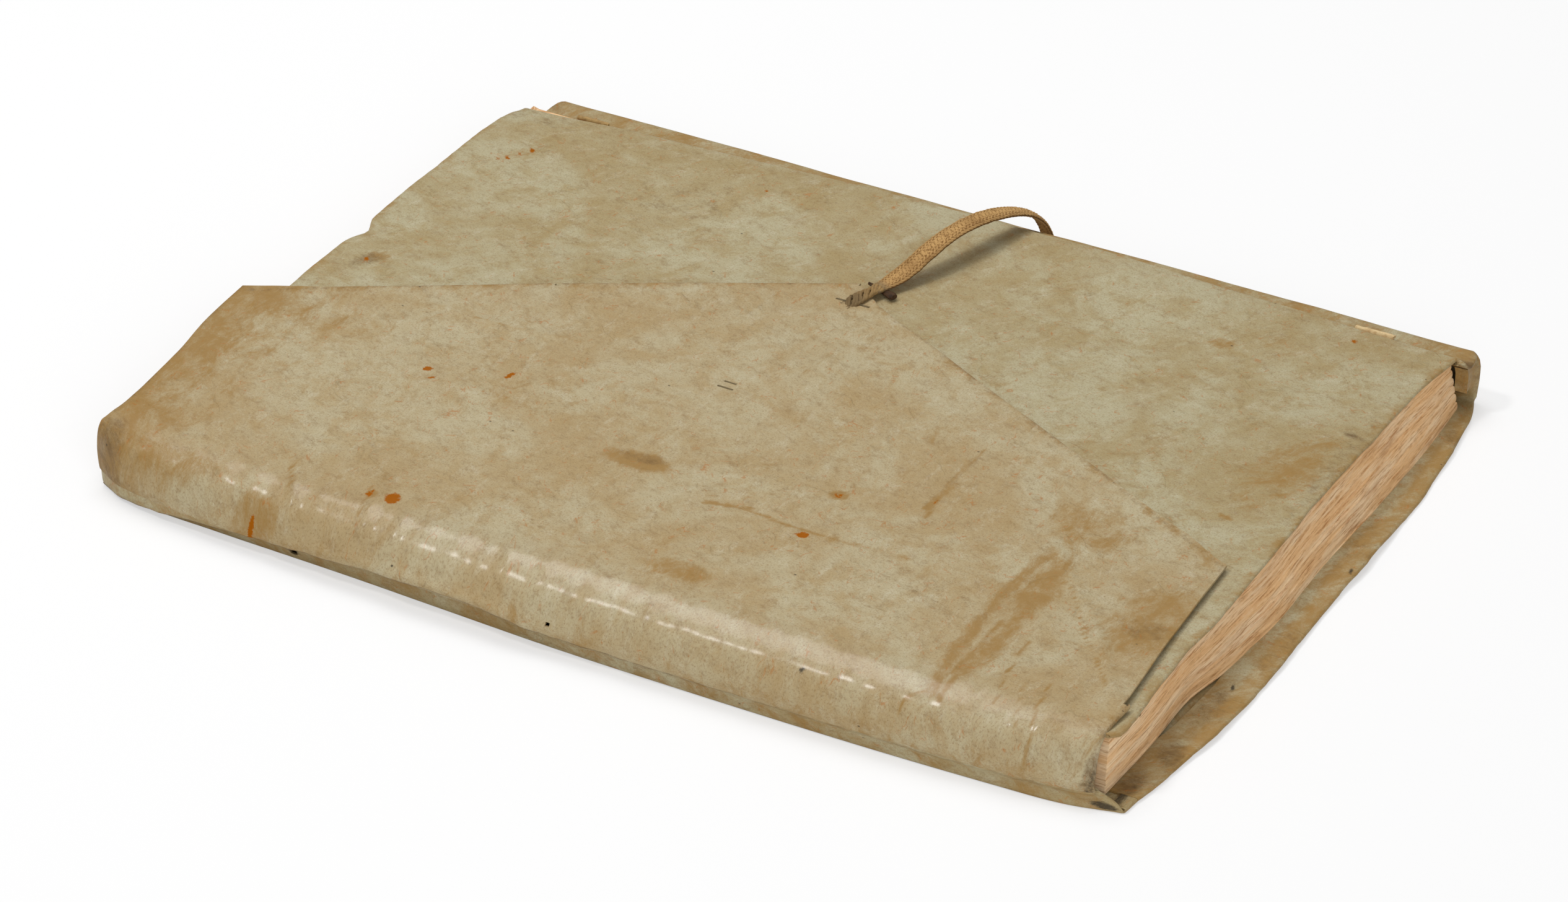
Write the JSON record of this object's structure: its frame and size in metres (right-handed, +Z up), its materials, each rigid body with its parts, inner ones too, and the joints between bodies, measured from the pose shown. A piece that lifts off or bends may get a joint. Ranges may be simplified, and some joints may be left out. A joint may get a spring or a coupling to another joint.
{
  "type": "limp vellum book with envelope flap",
  "caption": "Old limp vellum book: a folded skin wrapped round sewn paper leaves, with a fore-edge flap that lies on the front cover and a flat tie.",
  "frame": {"origin": "on the table under the middle of the lower cover", "axes": "+X from the head to the tail of the book, +Y from the fore-edge to the spine, +Z up from the lower cover to the front cover"},
  "size_m": [0.3345, 0.25, 0.0289],
  "materials": {
    "vellum": "dull with a polished sheen on the worn fore-edge",
    "leaves": "matt cut leaf edges",
    "tawed_skin": "matt",
    "thread": "matt linen",
    "worn_tie": "matt and frayed",
    "tie": "matt woven strap",
    "dark_lace": "dull"
  },
  "bodies": {
    "book": {"vellum_case": "vellum", "text_block": "leaves", "head_sewing_support": "tawed_skin", "tail_sewing_support": "tawed_skin", "sewing_thread": "thread"},
    "fore_edge": {"fore_edge_wall": "vellum"},
    "flap": {"envelope_flap": "vellum", "tie_root": "worn_tie", "tie_thong": "tie", "tie_lace": "dark_lace"}
  },
  "joints": [
    {"name": "fore_edge_fold", "type": "hinge", "parent": "book", "child": "fore_edge", "pos_m": [0, -0.1194, 0.0053], "axis": [1, 0, 0], "range_deg": [0, 85]},
    {"name": "flap_fold", "type": "hinge", "parent": "fore_edge", "child": "flap", "pos_m": [0, -0.1059, 0.0189], "axis": [1, 0, 0], "range_deg": [0, 85]}
  ]
}
